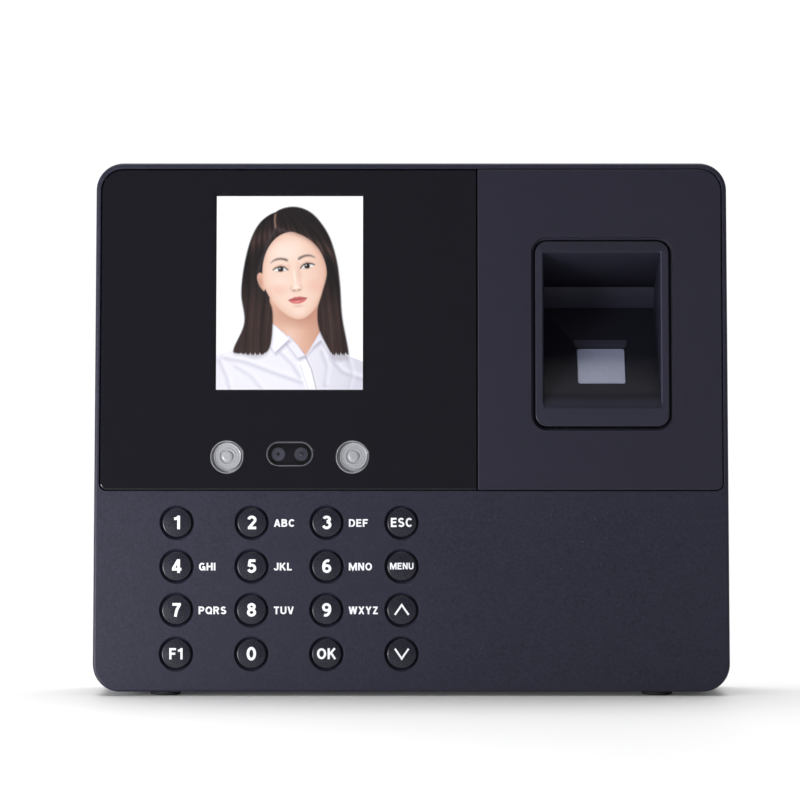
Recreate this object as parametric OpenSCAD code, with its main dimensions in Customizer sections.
// Face and fingerprint attendance terminal: a wedge-shaped two-part case that stands on
// rubber feet or hangs on a steel wall plate. +Z is up, the front faces -Y, and the origin is
// at the bottom centre. The front leans back, so its pieces are drawn in a face frame with
// u to the right, v up the face from its bottom edge, and w outwards from the face.

/* [Case] */
// Width of the case
body_w = 186; // [180:1:200]
// Height of the front face, along its slope
face_h = 156; // [152:1:170]
// Depth of the case at its base
base_d = 45; // [42:1:60]
// How far the face leans back, in degrees
recline = 6; // [4:0.5:8]
// Radius of the case's corners
body_r = 8; // [7:0.5:12]
// Thickness of the case walls
wall = 2.2; // [2:0.1:2.6]
// Thickness of the front wall around the keys
front_wall = 2.5; // [2.2:0.1:2.5]
// Depth of the front shell behind the face
split = 14; // [13.5:0.5:15]
// Width of the shadow line between the two shells
seam = 0.4; // [0.2:0.1:0.8]
// Height of the rubber feet
foot_h = 1.2; // [1:0.1:3]

/* [Inlay] */
// Width of the shell's rim beside the window and panel
rim = 1.4; // [1.2:0.1:1.8]
// Bottom edge of the inlay, up the face
inlay_v = 58.8; // [58:0.1:60]
// Depth of the pocket that holds the window and panel
pocket_d = 2.2; // [1.8:0.1:2.4]
// Thickness of the pocket's floor
pocket_floor = 2; // [1.6:0.1:2.2]
// Gap around each inlaid piece
inlay_gap = 0.3; // [0.2:0.05:0.5]
// Where the gloss window meets the matt panel
divide_u = 19.4; // [18:0.1:21]

/* [Display and camera] */
// Centre of the screen, to the right of the centre line
screen_u = -35.9; // [-37:0.1:-34]
// Centre of the screen, up the face
screen_v = 117.7; // [117:0.1:118]
// Width of the visible screen
screen_w = 43.2; // [40:0.1:44]
// Height of the visible screen
screen_h = 57.6; // [54:0.1:58]
// Distance from the middle of the pair of lamps to each lamp
lamp_pitch = 18.4; // [17.5:0.1:19]
// Height of the lamps and camera, up the face
lamp_v = 68.8; // [68:0.1:70]
// Diameter of the lamp lenses
lamp_d = 9.8; // [9:0.1:10]
// Width of the camera window
cam_w = 13.6; // [13:0.1:14]
// Height of the camera window
cam_h = 7.2; // [7:0.1:8]
// Distance between the two cameras
cam_pitch = 6.7; // [6.4:0.1:7]

/* [Finger reader] */
// Centre of the reader, to the right of the centre line
reader_u = 56.15; // [54:0.05:57]
// Centre of the reader insert, up the face
reader_v = 105.25; // [104.5:0.05:106]
// Width of the reader insert
insert_w = 39.4; // [38.6:0.1:40]
// Height of the reader insert
insert_h = 54.9; // [54.5:0.1:55.5]
// Width of the groove around the insert
groove = 1.2; // [0.8:0.1:1.4]
// Width of the finger recess
recess_w = 34.6; // [32:0.1:34.8]
// Width of the sensor window
sensor_w = 14.2; // [12:0.1:16]
// Length of the sensor window, along the ramp
sensor_l = 13.4; // [11:0.1:14]

/* [Keypad] */
// Left column of keys
key_u0 = -68.6; // [-70:0.1:-67]
// Bottom row of keys, up the face
key_v0 = 11.1; // [10.5:0.1:12]
// Distance between columns
key_du = 21.93; // [20:0.01:23]
// Distance between rows
key_dv = 12.8; // [12.4:0.1:12.9]
// Diameter of a key cap
key_d = 8.5; // [8:0.1:8.8]
// Travel of a key
key_travel = 1.2; // [0.8:0.1:1.3]

/* [Wall plate] */
// Width of the wall plate
plate_w = 118; // [110:1:120]
// Height of the wall plate
plate_h = 120; // [116:1:122]
// Distance between wall screws, across
plate_dx = 96; // [90:1:100]
// Distance between wall screws, up
plate_dz = 84; // [80:1:88]
// Diameter of the wall screw holes
plate_hole_d = 4.5; // [4:0.1:5]

/* [Hidden] */
$fn = 64;

far = 400;                              // larger than the whole terminal
eps = 0.05;                             // gap between pieces that are fixed together
body_h = face_h * cos(recline);
back_y = base_d / 2;
floor_w = -pocket_d - pocket_floor;     // back of the pocket's floor
inlay_top_v = face_h - rim - 0.2;
inlay_bottom_r = 2.3;
ledge_v = inlay_v - 1.8;                // where the front wall steps back behind the inlay
window_top = -0.15;
panel_top = 0.25;

screw_r = 1;                            // thread radius of the small screws
screw_hole_r = 1.05;
screw_head_r = 1.9;
case_screw_x = body_w / 2 - 7;
case_screw_z = [11, 64, 148];

lcd_w = 50;
lcd_h = 69.2;
lcd_top = -pocket_d - eps;
lcd_t = 2.6;
lcd_frame_t = 1.2;
bracket_w = 64;
bracket_h = 70;
bracket_t = 1.2;
bracket_top = lcd_top - lcd_t - lcd_frame_t - 0.4;
bracket_hole_u = bracket_w / 2 - 3;
bracket_hole_v = 28;

lamp_u = [screen_u + 0.2 - lamp_pitch, screen_u + 0.2 + lamp_pitch];
cam_u = screen_u + 0.2;
cam_v = lamp_v + 0.9;
cam_board_w = 24;
cam_board_top = -9.2;
lamp_board_top = -7.4;
board_t = 1.6;

main_top = -11;
main_u = [-80, 29];
main_v = [62, 150];
main_hole_u = [-76, 25];
main_hole_v = [66.5, 146];

// side view of the finger recess in (v, w): foot of the lip, foot of the ramp, foot and head
// of the back wall, and the top edge of the mouth
recess_lip_v = 83;
ramp_v = 86.3;
ramp_w = -1.2;
recess_back_v = 115.5;
recess_back_w = -19.5;
recess_head_v = 121.8;
recess_top_v = 129.5;
ramp_slope = atan2(ramp_w - recess_back_w, recess_back_v - ramp_v);
flange_t = 1.7;
flange_w = 46;
flange_h = 61;
ear_u = 24;
ear_v = 24;
housing_w = recess_w + 4;
sensor_s = 12.3;                        // centre of the sensor, up the ramp
sensor_top = -0.3;
sensor_block_t = 5;

key_rows = [["key_1", "key_2", "key_3", "key_esc"], ["key_4", "key_5", "key_6", "key_menu"],
    ["key_7", "key_8", "key_9", "key_up"], ["key_f1", "key_0", "key_ok", "key_down"]];
key_top = 0.6;
key_bore_d = key_d + 0.6;
key_well_d = 10.2;
key_well_h = 0.7;                        // depth of the chamfer at a key well's mouth
key_flange_r = 5.75;
key_flange_top = -front_wall - 0.15;
key_flange_t = 1.2;
key_stem_r = 1.5;
key_stem_end = -6.1;
mat_top = -6.2;
pad_board_top = key_stem_end - key_travel - 0.5;
pad_u = [key_u0 - 9, key_u0 + 3 * key_du + 9];
pad_v = [key_v0 - 7, key_v0 + 3 * key_dv + 6.3];
pad_hole_u = [key_u0 + key_du / 2, key_u0 + 2.5 * key_du];
pad_hole_v = [key_v0 + key_dv / 2, key_v0 + 2.5 * key_dv];

plate_t = 1.5;
plate_z0 = 14;
plate_mid_z = plate_z0 + plate_h / 2;
plate_window_w = 60;
plate_window_z = [55, 95];
recess_d = 2;                           // depth of the wall plate's recess in the rear shell
pad_y = back_y - recess_d;              // floor of that recess
pad_t = 2;
hook_x = 40;
hook_z = 128;
hook_y = 14;
flange_x = 8;

port_z = 60;                            // top face of the connector board
jack_x = 14;
usb_z = 100;
usb_y = 12;
foot_x = 72;
foot_y = [-16, 16];
foot_r = 4.5;
foot_seat = 0.6;
speaker_x = 42;
speaker_y = 6;

// y of the plane at depth w behind the face, at height z
function wall_y(z, w) = -base_d / 2 + (z - foot_h) * tan(recline) - w / cos(recline);

module on_face() translate([0, -base_d / 2, foot_h]) rotate([90 - recline, 0, 0]) children();

module on_ramp() on_face() translate([reader_u, ramp_v, ramp_w]) rotate([-ramp_slope, 0, 0])
    translate([0, sensor_s, 0]) children();

// Rectangle with round corners, centred
module round_rect(w, h, r) {
    square([w - 2 * r, h], center = true);
    square([w, h - 2 * r], center = true);
    for (x = [-1, 1], y = [-1, 1]) translate([x * (w / 2 - r), y * (h / 2 - r)]) circle(r);
}

// Stadium with its long side across, centred
module stadium(w, h) {
    square([w - h, h], center = true);
    for (x = [-1, 1]) translate([x * (w - h) / 2, 0]) circle(h / 2);
}

// Slab of the face frame between two depths
module slab(from, to) on_face() translate([-far / 2, -far / 2, from]) cube([far, far, to - from]);

// Face-frame prism of a 2D outline between two depths
module prism(from, to) translate([0, 0, from]) linear_extrude(to - from) children();

// Profile drawn in (v, w) and carried across from u0 to u1
module across(u0, u1) translate([u0, 0, 0]) rotate([90, 0, 90]) linear_extrude(u1 - u0) children();

// Profile drawn in (u, w) and carried up from v0 to v1
module upwards(v0, v1) translate([0, v1, 0]) rotate([90, 0, 0]) linear_extrude(v1 - v0) children();

module cyl_y(x, z, r, y0, y1) translate([x, y1, z]) rotate([90, 0, 0]) cylinder(r = r, h = y1 - y0);

// Face-frame cylinder between two depths
module post(u, v, r, from, to) translate([u, v, from]) cylinder(r = r, h = to - from);

// The case's outline, set in by some distance and running from front to back
module case_block(inset) translate([0, back_y - (inset > 0 ? wall : 0), foot_h + body_h / 2])
    rotate([90, 0, 0]) linear_extrude(2 * base_d)
        round_rect(body_w - 2 * inset, body_h - 2 * inset, body_r - inset);

module inlay_outline(gap) {
    w = body_w - 2 * (rim + gap);
    h = inlay_top_v - inlay_v - 2 * gap;
    translate([0, inlay_v + gap + h / 2]) round_rect(w, h, body_r - rim - gap);
    translate([0, inlay_v + gap + h / 4]) round_rect(w, h / 2, inlay_bottom_r - gap);
}

module reader_opening(margin) translate([reader_u, reader_v])
    round_rect(insert_w + 2 * margin, insert_h + 2 * margin, 3.5 + margin);

module camera_opening(margin) translate([cam_u, cam_v])
    stadium(cam_w + 2 * margin, cam_h + 2 * margin);

// Screw in the face frame, driven from behind: its head lies behind w
module face_screw(u, v, w, length, head_t = 1.4) difference() {
    union() {
        post(u, v, screw_r, w, w + length);
        post(u, v, screw_head_r, w - head_t, w);
    }
    for (a = [0, 90]) translate([u, v, w - head_t]) rotate([0, 0, a])
        cube([2.2, 0.5, 1.2], center = true);
}

// Unit normal of a path at one of its points
function path_normal(p, i) = let (d = p[min(i + 1, len(p) - 1)] - p[max(i - 1, 0)])
    [d[1], -d[0]] / norm(d);

// Flat cable along a list of [a, w] points
module ribbon(p, t = 0.25) polygon(concat(p,
    [for (i = [len(p) - 1:-1:0]) p[i] + t * path_normal(p, i)]));

module face_bosses() {
    for (u = main_hole_u, v = main_hole_v) post(u, v, 3, main_top, floor_w);
    for (s = [-1, 1], t = [-1, 1])
        post(screen_u + s * bracket_hole_u, screen_v + t * bracket_hole_v, 2.4, bracket_top, floor_w);
    for (s = [-1, 1]) post(cam_u + s * 9.5, cam_v, 1.9, cam_board_top, floor_w);
    for (u = pad_hole_u, v = pad_hole_v) post(u, v, 2.5, pad_board_top, -front_wall);
}

module face_boss_holes() {
    for (u = main_hole_u, v = main_hole_v) post(u, v, screw_hole_r, main_top - 1, floor_w - 0.5);
    for (s = [-1, 1], t = [-1, 1])
        post(screen_u + s * bracket_hole_u, screen_v + t * bracket_hole_v, screw_hole_r,
            bracket_top - 1, -pocket_d - 0.6);
    for (s = [-1, 1]) post(cam_u + s * 9.5, cam_v, screw_hole_r, cam_board_top - 1, floor_w);
    for (u = pad_hole_u, v = pad_hole_v) post(u, v, screw_hole_r, pad_board_top - 1, -front_wall - 0.4);
    for (s = [-1, 1], t = [-1, 1])
        post(reader_u + s * ear_u, reader_v + t * ear_v, screw_hole_r, floor_w - 1, -pocket_d - 0.4);
}

module front_shell() color("#34353f") difference() {
    union() {
        difference() {
            intersection() {
                case_block(0);
                slab(-split, 0);
            }
            intersection() {
                case_block(wall);
                on_face() {
                    translate([-far / 2, -far + ledge_v, -split - 1])
                        cube([far, far, split + 1 - front_wall]);
                    translate([-far / 2, ledge_v - 1, -split - 1])
                        cube([far, far, split + 1 + floor_w]);
                }
            }
        }
        on_face() face_bosses();
        intersection() {
            for (x = [-1, 1], z = case_screw_z) cyl_y(x * case_screw_x, z, 3.2, -base_d, base_d);
            slab(-split, -front_wall);
            case_block(wall / 2);
        }
    }
    on_face() {
        prism(-pocket_d, 1) inlay_outline(0);
        prism(-9, 0) translate([screen_u, screen_v]) square([lcd_w + 1, lcd_h + 1], center = true);
        for (u = lamp_u) post(u, lamp_v, lamp_d / 2 + 0.2, -9, 0);
        prism(-9, 0) camera_opening(-0.6);
        prism(-9, 0) reader_opening(groove);
        face_boss_holes();
        for (r = [0:3], c = [0:3]) translate([key_u0 + c * key_du, key_v0 + r * key_dv, 0]) {
            translate([0, 0, -front_wall - 1]) cylinder(d = key_bore_d, h = front_wall + 2);
            translate([0, 0, -key_well_h]) cylinder(d1 = key_bore_d, d2 = key_well_d, h = key_well_h + 0.01);
        }
    }
    for (x = [-1, 1], z = case_screw_z)
        cyl_y(x * case_screw_x, z, screw_hole_r, wall_y(z, -5.5), wall_y(z, -split) + 2);
    for (x = [-1, 1]) translate([x * foot_x, foot_y[0], foot_h - 1])
        cylinder(r = foot_r + 0.1, h = 1 + foot_seat);
}

module rear_towers() {
    for (x = [-1, 1], z = case_screw_z) cyl_y(x * case_screw_x, z, 3.9, -base_d, back_y - 1);
}

module rear_shell() color("#30313a") difference() {
    union() {
        difference() {
            intersection() {
                case_block(0);
                slab(-far, -split - seam);
            }
            difference() {
                case_block(wall);
                translate([-plate_w / 2 - 4, pad_y - pad_t, plate_z0 - 4])
                    cube([plate_w + 8, base_d, plate_h + 8]);
            }
        }
        difference() {
            intersection() {
                case_block(wall + 0.1);
                slab(-split - 3, -split + 2.5);
            }
            case_block(wall + 1.3);
        }
        intersection() {
            rear_towers();
            slab(-far, -split - seam);
            case_block(wall / 2);
        }
        // cups around the wall screws' heads
        for (x = [-1, 1], z = [-1, 1])
            cyl_y(x * plate_dx / 2, plate_mid_z + z * plate_dz / 2, 7, pad_y - pad_t - 4, pad_y - 1);
        translate([0, 11, foot_h + 1]) cylinder(r = 5, h = 5);
    }
    translate([-plate_w / 2 - 0.5, pad_y, plate_z0 - 0.5]) cube([plate_w + 1, far, plate_h + 1]);
    for (x = [-1, 1], z = [-1, 1])
        cyl_y(x * plate_dx / 2, plate_mid_z + z * plate_dz / 2, 5.5, pad_y - 4.5, pad_y + 1);
    for (x = [-1, 1]) translate([x * hook_x - 6.5, pad_y - 5, hook_z - 2]) cube([13, 8, 8]);
    translate([-flange_x - 1, pad_y - 5, plate_z0 - 0.5]) cube([2 * flange_x + 2, 8, 3]);
    for (x = [-1, 1], z = case_screw_z) {
        ys = wall_y(z, -split);
        cyl_y(x * case_screw_x, z, 1.3, ys - 3, back_y + 1);
        cyl_y(x * case_screw_x, z, 3, ys + 4, back_y + 1);
    }
    translate([0, 11, foot_h - 1]) cylinder(r = 1.7, h = 12);
    translate([0, 11, foot_h - 1]) cylinder(r = 3, h = 4);
    for (x = [-1, 1]) translate([x * foot_x, foot_y[1], foot_h - 1])
        cylinder(r = foot_r + 0.1, h = 1 + foot_seat);
    for (i = [-3:3]) translate([speaker_x + i * 4 - 0.8, speaker_y - 6, foot_h - 1]) cube([1.6, 12, 4]);
    // connector mouths
    translate([-10.2, pad_y - pad_t - 1, port_z - 0.2]) cube([16.4, 4, 13.9]);
    translate([jack_x - 0.2, pad_y - pad_t - 1, port_z - 0.2]) cube([9.4, 4, 11.4]);
    translate([body_w / 2 - 5, usb_y - 6.8, usb_z - 3.1]) cube([10, 13.6, 6.2]);
    // cooling slots near the top of the back
    for (i = [-6:6]) translate([i * 6 - 1, back_y - 4, 144]) cube([2, 8, 8]);
}

module window_bezel() color("#1c1b20") on_face() prism(-pocket_d, window_top) difference() {
    intersection() {
        inlay_outline(inlay_gap);
        translate([-far, 0]) square([far + divide_u - inlay_gap / 2, far]);
    }
    translate([screen_u, screen_v]) square([screen_w + 1, screen_h + 1], center = true);
    for (u = lamp_u) translate([u, lamp_v]) circle(lamp_d / 2 + 0.1);
    camera_opening(0.1);
}

module screen_lens() color("#8fa0b0", 0.4) on_face() prism(-pocket_d, window_top)
    translate([screen_u, screen_v]) square([screen_w + 0.9, screen_h + 0.9], center = true);

module camera_trim() color("#55565e") on_face() prism(-pocket_d, window_top + 0.1) difference() {
    camera_opening(0);
    camera_opening(-0.5);
}

module camera_cover() color("#3a3f4a", 0.5) on_face() prism(-1.4, window_top - 0.1)
    camera_opening(-0.55);

module camera(u) on_face() translate([u, cam_v, 0]) {
    difference() {
        union() {
            translate([-3.1, -3.1, cam_board_top]) cube([6.2, 6.2, 4.4]);
            translate([0, 0, -5]) cylinder(r = 2.4, h = 3.4);
        }
        translate([0, 0, -2.1]) cylinder(r = 1.5, h = 1);
    }
}

module camera_visible() color("#26262b") camera(cam_u - cam_pitch / 2);

module camera_infrared() color("#3a2a30") camera(cam_u + cam_pitch / 2);

module camera_board() color("#1f5a3a") on_face() difference() {
    translate([cam_u - cam_board_w / 2, cam_v - 4.5, cam_board_top - 1.2]) cube([cam_board_w, 9, 1.2]);
    for (s = [-1, 1]) post(cam_u + s * 9.5, cam_v, 1.2, cam_board_top - 2, cam_board_top + 1);
}

module lamp_lens(u) {
    r = lamp_d / 2;
    on_face() translate([u, lamp_v, 0]) rotate_extrude() polygon([[0, -5.4], [r + 1.3, -5.4],
        [r + 1.3, floor_w - eps], [r, floor_w - eps], [r, 0.3], [r - 0.7, 0.3], [r - 0.7, -0.2],
        [r - 1.9, -0.2], [r - 1.9, -0.6], [1.7, -0.6], [1.7, 0], [0.9, 0.25], [0, 0.3]]);
}

module lamp_lens_left() color("#c9ccd2") lamp_lens(lamp_u[0]);

module lamp_lens_right() color("#c9ccd2") lamp_lens(lamp_u[1]);

module lamp_board(u) on_face() {
    post(u, lamp_v, 5.6, lamp_board_top - 1.2, lamp_board_top);
    post(u, lamp_v, 2.5, lamp_board_top, lamp_board_top + 1.2);
}

module lamp_board_left() color("#e8e8e0") lamp_board(lamp_u[0]);

module lamp_board_right() color("#e8e8e0") lamp_board(lamp_u[1]);

module reader_panel() color("#3a3b46") on_face() prism(-pocket_d, panel_top) difference() {
    intersection() {
        inlay_outline(inlay_gap);
        translate([divide_u + inlay_gap / 2, 0]) square([far, far]);
    }
    reader_opening(groove);
}

module recess_profile() polygon([[recess_lip_v - 3, 3], [recess_lip_v, 0], [ramp_v, ramp_w],
    [recess_back_v, recess_back_w], [recess_head_v, recess_back_w], [recess_top_v, 0],
    [recess_top_v + 1.6, 3]]);

module well_housing_profile() polygon([[ramp_v + 1, floor_w - 1], [recess_back_v - 1.1, recess_back_w - 2],
    [recess_head_v + 1.7, recess_back_w - 2], [recess_top_v + 0.3, floor_w - 1]]);

module reader_well() color("#2b2c35") difference() {
    on_face() difference() {
        union() {
            prism(floor_w - flange_t, 0.1) reader_opening(0);
            prism(floor_w - flange_t, floor_w - eps) {
                translate([reader_u, reader_v]) round_rect(flange_w, flange_h, 4);
                for (s = [-1, 1], t = [-1, 1])
                    translate([reader_u + s * ear_u, reader_v + t * ear_v]) circle(3.4);
            }
            across(reader_u - housing_w / 2, reader_u + housing_w / 2) well_housing_profile();
        }
        across(reader_u - recess_w / 2, reader_u + recess_w / 2) recess_profile();
        for (s = [-1, 1], t = [-1, 1])
            post(reader_u + s * ear_u, reader_v + t * ear_v, 1.2, floor_w - 3, floor_w + 1);
    }
    on_ramp() {
        prism(-9, 2) square([sensor_w + 0.2, sensor_l + 0.2], center = true);
        translate([-9.6, -9.6, -20]) cube([19.2, 19.2, 18]);
    }
}

module sensor_window() color("#aeb4c4") on_ramp() prism(-1.95, sensor_top)
    square([sensor_w, sensor_l], center = true);

module sensor_housing() color("#4a4b50") on_ramp() prism(-2.05 - sensor_block_t, -2.05)
    square([19, 18], center = true);

module sensor_board() color("#1f5a3a") on_ramp() prism(-8.4, -7.2) square([20, 19], center = true);

module lcd_panel() color("#8c95a3") on_face() prism(lcd_top - lcd_t, lcd_top)
    translate([screen_u, screen_v]) square([lcd_w, lcd_h], center = true);

module lcd_frame() color("#b8babd") on_face() prism(lcd_top - lcd_t - eps - lcd_frame_t, lcd_top - lcd_t - eps)
    translate([screen_u, screen_v]) difference() {
        square([lcd_w + 3, lcd_h + 2.2], center = true);
        square([lcd_w - 14, lcd_h - 22], center = true);
    }

module lcd_bracket() color("#a8aaad") on_face() prism(bracket_top - bracket_t, bracket_top)
    translate([screen_u, screen_v]) difference() {
        union() {
            square([bracket_w - 10, bracket_h], center = true);
            for (t = [-1, 1]) translate([0, t * bracket_hole_v]) square([bracket_w, 7], center = true);
        }
        square([bracket_w - 24, bracket_h - 16], center = true);
        for (s = [-1, 1], t = [-1, 1])
            translate([s * bracket_hole_u, t * bracket_hole_v]) circle(1.2);
    }

module keypad_mat() color("#8f9296") on_face() prism(pad_board_top + eps, mat_top) difference() {
    translate([pad_u[0] + 1, pad_v[0] + 1])
        square([pad_u[1] - pad_u[0] - 2, pad_v[1] - pad_v[0] - 2]);
    for (r = [0:3], c = [0:3])
        translate([key_u0 + c * key_du, key_v0 + r * key_dv]) circle(2.8);
    for (u = pad_hole_u, v = pad_hole_v) translate([u, v]) circle(2.7);
}

module keypad_board() color("#1f5a3a") on_face() prism(pad_board_top - board_t, pad_board_top)
    difference() {
        translate([pad_u[0], pad_v[0]]) square([pad_u[1] - pad_u[0], pad_v[1] - pad_v[0]]);
        for (u = pad_hole_u, v = pad_hole_v) translate([u, v]) circle(1.2);
    }

// Key cap with its retaining flange and stem, at a column and a row counted from the top
module key_cap(c, r) color("#2c2d36") on_face()
    translate([key_u0 + c * key_du, key_v0 + (3 - r) * key_dv, 0]) rotate_extrude() polygon([
        [0, key_stem_end], [key_stem_r, key_stem_end], [key_stem_r, key_flange_top - key_flange_t],
        [key_flange_r, key_flange_top - key_flange_t], [key_flange_r, key_flange_top],
        [key_d / 2, key_flange_top], [key_d / 2, key_top - 0.65], [key_d / 2 - 0.4, key_top - 0.25],
        [key_d / 4, key_top - 0.06], [0, key_top]]);

module main_board() color("#1f5a3a") on_face() {
    difference() {
        translate([main_u[0], main_v[0], main_top - board_t])
            cube([main_u[1] - main_u[0], main_v[1] - main_v[0], board_t]);
        for (u = main_hole_u, v = main_hole_v) post(u, v, 1.2, main_top - 3, main_top + 1);
    }
    // processor, memory, relay, coin cell and cable sockets on its back
    translate([-50, 100, main_top - board_t - 1.4]) cube([16, 16, 1.4]);
    translate([-28, 102, main_top - board_t - 1.1]) cube([10, 14, 1.1]);
    translate([-4, 120, main_top - board_t - 8]) cube([10, 18, 8]);
    translate([-66, 126, main_top - board_t - 3.4]) cylinder(r = 6, h = 3.4);
    translate([12, 80, main_top - board_t - 1.6]) cube([9, 14, 1.6]);
}

module io_board() color("#1f5a3a") translate([-18, 4, port_z - board_t]) cube([46, 14, board_t]);

module ethernet_port() color("#a9abb0") difference() {
    translate([-10, 5.5, port_z + eps]) cube([16, 14.8, 13.4]);
    translate([-7.9, 9, port_z + 3]) cube([11.8, 12, 8]);
}

module power_jack() color("#1a1a1c") {
    difference() {
        translate([jack_x, 8.3, port_z + eps]) cube([9, 12, 11]);
        cyl_y(jack_x + 4.5, port_z + 6, 3, 11, 21);
    }
    cyl_y(jack_x + 4.5, port_z + 6, 1, 10.5, 19.8);
}

module usb_port() color("#a9abb0") translate([0, usb_y, usb_z]) {
    difference() {
        translate([body_w / 2 - 14.3, -6.6, -2.9]) cube([14, 13.2, 5.8]);
        translate([body_w / 2 - 12, -6.2, -2.5]) cube([14, 12.4, 5]);
    }
    translate([body_w / 2 - 12.5, -5.6, 0.3]) cube([11, 11.2, 1.8]);
}

module usb_board() color("#1f5a3a") translate([body_w / 2 - 17, usb_y - 7.5, usb_z - 4.6])
    cube([12, 15, board_t]);

module speaker() color("#3c3c40") translate([speaker_x, speaker_y, foot_h + wall + eps]) {
    linear_extrude(3.6) round_rect(40, 20, 9);
    translate([0, 0, 3.5]) cylinder(r = 7.5, h = 3);
}

module backup_battery() color("#3f6fb0") translate([-32, pad_y - pad_t - 6.1, 24]) cube([52, 6, 28]);

module case_screws() color("#2a2a2c") for (x = [-1, 1], z = case_screw_z) {
    ys = wall_y(z, -split);
    difference() {
        union() {
            cyl_y(x * case_screw_x, z, screw_r, wall_y(z, -6.5), ys + 4.2);
            cyl_y(x * case_screw_x, z, 2.6, ys + 4 + eps, ys + 6);
        }
        for (a = [0, 90]) translate([x * case_screw_x, ys + 6, z]) rotate([0, a, 0])
            cube([3, 1.6, 0.6], center = true);
    }
}

module board_screws() color("#c8c8c4") on_face() for (u = main_hole_u, v = main_hole_v)
    face_screw(u, v, main_top - board_t - eps, 6);

module bracket_screws() color("#c8c8c4") on_face() {
    for (s = [-1, 1], t = [-1, 1])
        face_screw(screen_u + s * bracket_hole_u, screen_v + t * bracket_hole_v,
            bracket_top - bracket_t - eps, 4);
    for (s = [-1, 1]) face_screw(cam_u + s * 9.5, cam_v, cam_board_top - 1.2 - eps, 5, 0.5);
}

module reader_screws() color("#c8c8c4") on_face() for (s = [-1, 1], t = [-1, 1])
    face_screw(reader_u + s * ear_u, reader_v + t * ear_v, floor_w - flange_t - eps, 3.2);

module keypad_screws() color("#c8c8c4") on_face() for (u = pad_hole_u, v = pad_hole_v)
    face_screw(u, v, pad_board_top - board_t - eps, 5.5);

module wall_plate() color("#9c9ea2") {
    difference() {
        translate([-plate_w / 2, pad_y + eps, plate_z0]) cube([plate_w, plate_t, plate_h]);
        translate([-plate_window_w / 2, pad_y - 1, plate_window_z[0]])
            cube([plate_window_w, 5, plate_window_z[1] - plate_window_z[0]]);
        for (x = [-1, 1], z = [-1, 1])
            cyl_y(x * plate_dx / 2, plate_mid_z + z * plate_dz / 2, plate_hole_d / 2, pad_y - 1, back_y + 1);
        for (x = [-1, 1]) translate([x * hook_x - 6.5, pad_y - 1, hook_z + plate_t])
            cube([13, 5, plate_z0 + plate_h - hook_z]);
    }
    for (x = [-1, 1]) translate([x * hook_x - 5.5, 0, hook_z]) {
        translate([0, hook_y + 2.5, 0]) cube([11, pad_y + plate_t - hook_y - 2.5 + eps, plate_t]);
        translate([0, hook_y + 2.5, 0]) cube([11, plate_t, 5.5]);
    }
    difference() {
        translate([-flange_x, 6, plate_z0]) cube([2 * flange_x, pad_y - 6 + 0.5, plate_t]);
        translate([0, 11, plate_z0 - 1]) cylinder(r = 1.6, h = 4);
    }
}

module lock_screw() color("#8c8e92") translate([0, 11, 0]) difference() {
    union() {
        translate([0, 0, foot_h + 3 - 2.4]) cylinder(r = 2.7, h = 2.35);
        translate([0, 0, foot_h + 2.5]) cylinder(r = 1.45, h = plate_z0 + 2);
    }
    for (a = [0, 90]) translate([0, 0, foot_h + 0.6]) rotate([0, 0, a]) cube([3.4, 0.7, 1.8], center = true);
}

module rubber_feet() color("#1b1b1d") for (x = [-1, 1], y = foot_y)
    translate([x * foot_x, y, 0]) {
        cylinder(r1 = foot_r - 0.5, r2 = foot_r, h = 0.5);
        translate([0, 0, 0.5]) cylinder(r = foot_r, h = foot_h + foot_seat - 0.5 - eps);
    }

module lcd_cable() color("#c08a3a") on_face() across(screen_u - 10, screen_u + 10)
    ribbon([[81.5, -5.4], [79.4, -5.4], [78.4, -6.6], [78.4, -9.2], [79.6, -10.5], [88, -10.7]]);

module sensor_cable() color("#c08a3a") on_face() upwards(84, 92)
    ribbon([[52, -16.9], [30, -16.9], [24, -14.6], [14, -14.6]]);

module keypad_cable() color("#c08a3a") on_face() across(-8, 6)
    ribbon([[50, -9.5], [56, -9.6], [61, -12.75], [68, -12.75]]);

front_shell();
rear_shell();
window_bezel();
screen_lens();
camera_trim();
camera_cover();
camera_visible();
camera_infrared();
camera_board();
lamp_lens_left();
lamp_lens_right();
lamp_board_left();
lamp_board_right();
reader_panel();
reader_well();
sensor_window();
sensor_housing();
sensor_board();
lcd_panel();
lcd_frame();
lcd_bracket();
keypad_mat();
keypad_board();
for (r = [0:3], c = [0:3]) key_cap(c, r);
main_board();
io_board();
usb_port();
usb_board();
ethernet_port();
power_jack();
speaker();
backup_battery();
case_screws();
board_screws();
bracket_screws();
reader_screws();
keypad_screws();
wall_plate();
lock_screw();
rubber_feet();
lcd_cable();
sensor_cable();
keypad_cable();
